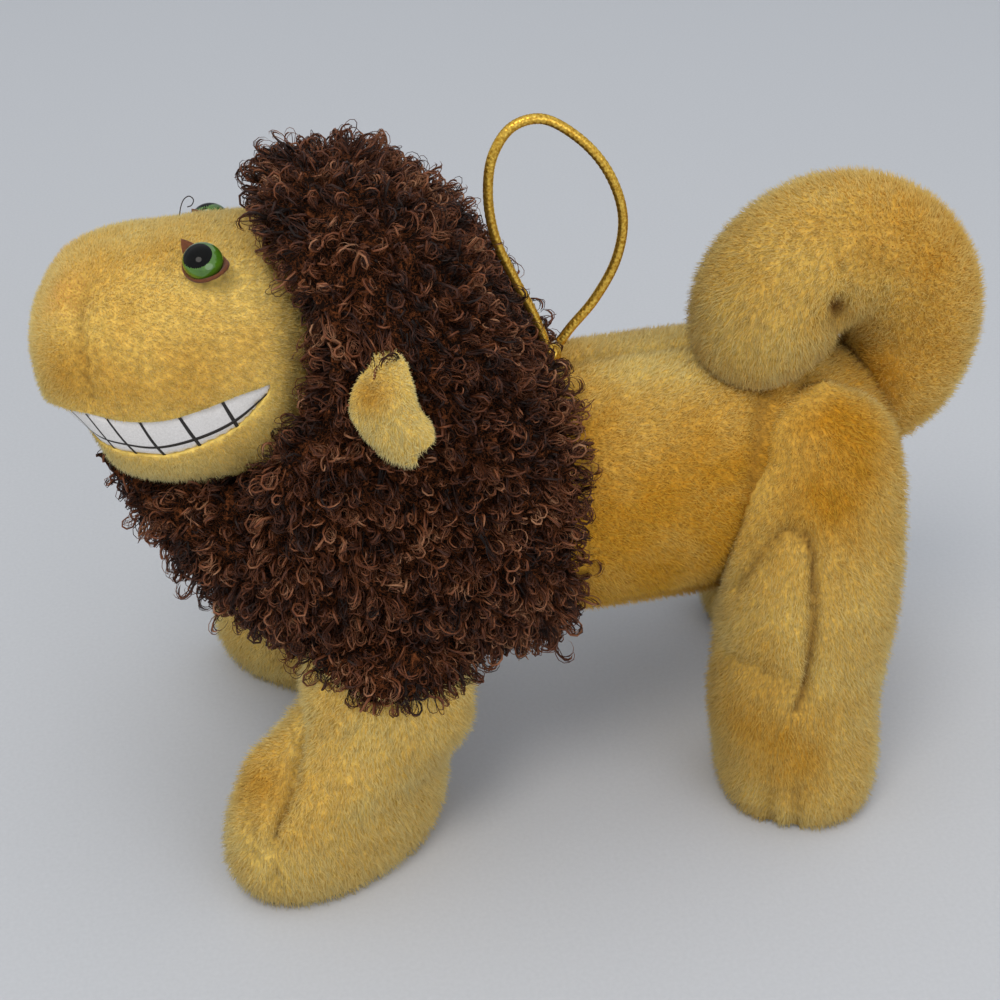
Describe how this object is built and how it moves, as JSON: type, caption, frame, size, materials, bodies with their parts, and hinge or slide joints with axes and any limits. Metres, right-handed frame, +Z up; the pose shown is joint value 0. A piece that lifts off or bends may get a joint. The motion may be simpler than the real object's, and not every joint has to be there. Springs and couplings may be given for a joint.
{
  "type": "plush lion",
  "caption": "Standing stuffed plush lion with curly mane panels, plastic eyes on felt, printed teeth, four padded legs, curled tail and a hanging loop.",
  "frame": {"origin": "on the floor, under the middle of the toy's length and width, without its hanging loop", "axes": "+Z up, the lion looks along -X, its left side is -Y, and +X points to the tail"},
  "size_m": [0.2322, 0.1248, 0.1783],
  "materials": {
    "golden_plush": "short golden-yellow plush, brushed, slightly worn at the seams",
    "pale_plush": "short pale-yellow plush, airbrushed golden in patches",
    "curly_pile": "long dark brown curled pile",
    "fibre_fill": "white polyester fibre filling, not seen from outside",
    "printed_satin": "white satin with black printed lines",
    "green_eye": "clear-coated green plastic dome",
    "black_pupil": "black plastic core and ridged shank",
    "white_washer": "white plastic lock washer, inside the head",
    "brown_felt": "cut brown felt with bare edges",
    "gold_braid": "gold metallised braided cord, soft metallic gloss"
  },
  "bodies": {
    "torso": {"face_skin": "pale_plush", "muzzle_front_panel": "pale_plush", "lower_jaw_skin": "pale_plush", "teeth_band": "printed_satin", "head_stuffing": "fibre_fill", "left_eye_dome": "green_eye", "left_eye_core": "black_pupil", "left_eye_felt": "brown_felt", "left_eye_washer": "white_washer", "right_eye_dome": "green_eye", "right_eye_core": "black_pupil", "right_eye_felt": "brown_felt", "right_eye_washer": "white_washer", "mane_left_panel": "curly_pile", "mane_right_panel": "curly_pile", "neck_stuffing": "fibre_fill", "loop_knot": "gold_braid", "trunk_left_panel": "golden_plush", "trunk_right_panel": "golden_plush", "belly_panel": "golden_plush", "trunk_stuffing": "fibre_fill", "left_front_leg_skin": "pale_plush", "right_front_leg_skin": "pale_plush", "left_rear_leg_skin": "pale_plush", "right_rear_leg_skin": "pale_plush", "left_front_leg_stuffing": "fibre_fill", "right_front_leg_stuffing": "fibre_fill", "left_rear_leg_stuffing": "fibre_fill", "right_rear_leg_stuffing": "fibre_fill", "left_front_sole": "pale_plush", "right_front_sole": "pale_plush", "left_rear_sole": "pale_plush", "right_rear_sole": "pale_plush"},
    "left_ear": {"left_ear": "pale_plush"},
    "right_ear": {"right_ear": "pale_plush"},
    "tail": {"tail_skin": "pale_plush", "tail_stuffing": "fibre_fill"},
    "loop": {"hang_loop": "gold_braid"}
  },
  "joints": [
    {"name": "left_ear_flop", "type": "hinge", "parent": "torso", "child": "left_ear", "pos_m": [-0.039, -0.0482, 0.1422], "axis": [-1, 0, 0], "range_deg": [0, 60]},
    {"name": "right_ear_flop", "type": "hinge", "parent": "torso", "child": "right_ear", "pos_m": [-0.039, 0.0482, 0.1422], "axis": [1, 0, 0], "range_deg": [0, 60]},
    {"name": "tail_lift", "type": "hinge", "parent": "torso", "child": "tail", "pos_m": [0.0976, 0, 0.0822], "axis": [0, 1, 0], "range_deg": [0, 15], "stiffness_Nm_per_rad": 0.05},
    {"name": "loop_fold", "type": "hinge", "parent": "torso", "child": "loop", "pos_m": [0.0049, -0.008, 0.119], "axis": [0, 1, 0], "range_deg": [0, 35], "stiffness_Nm_per_rad": 0.004}
  ]
}
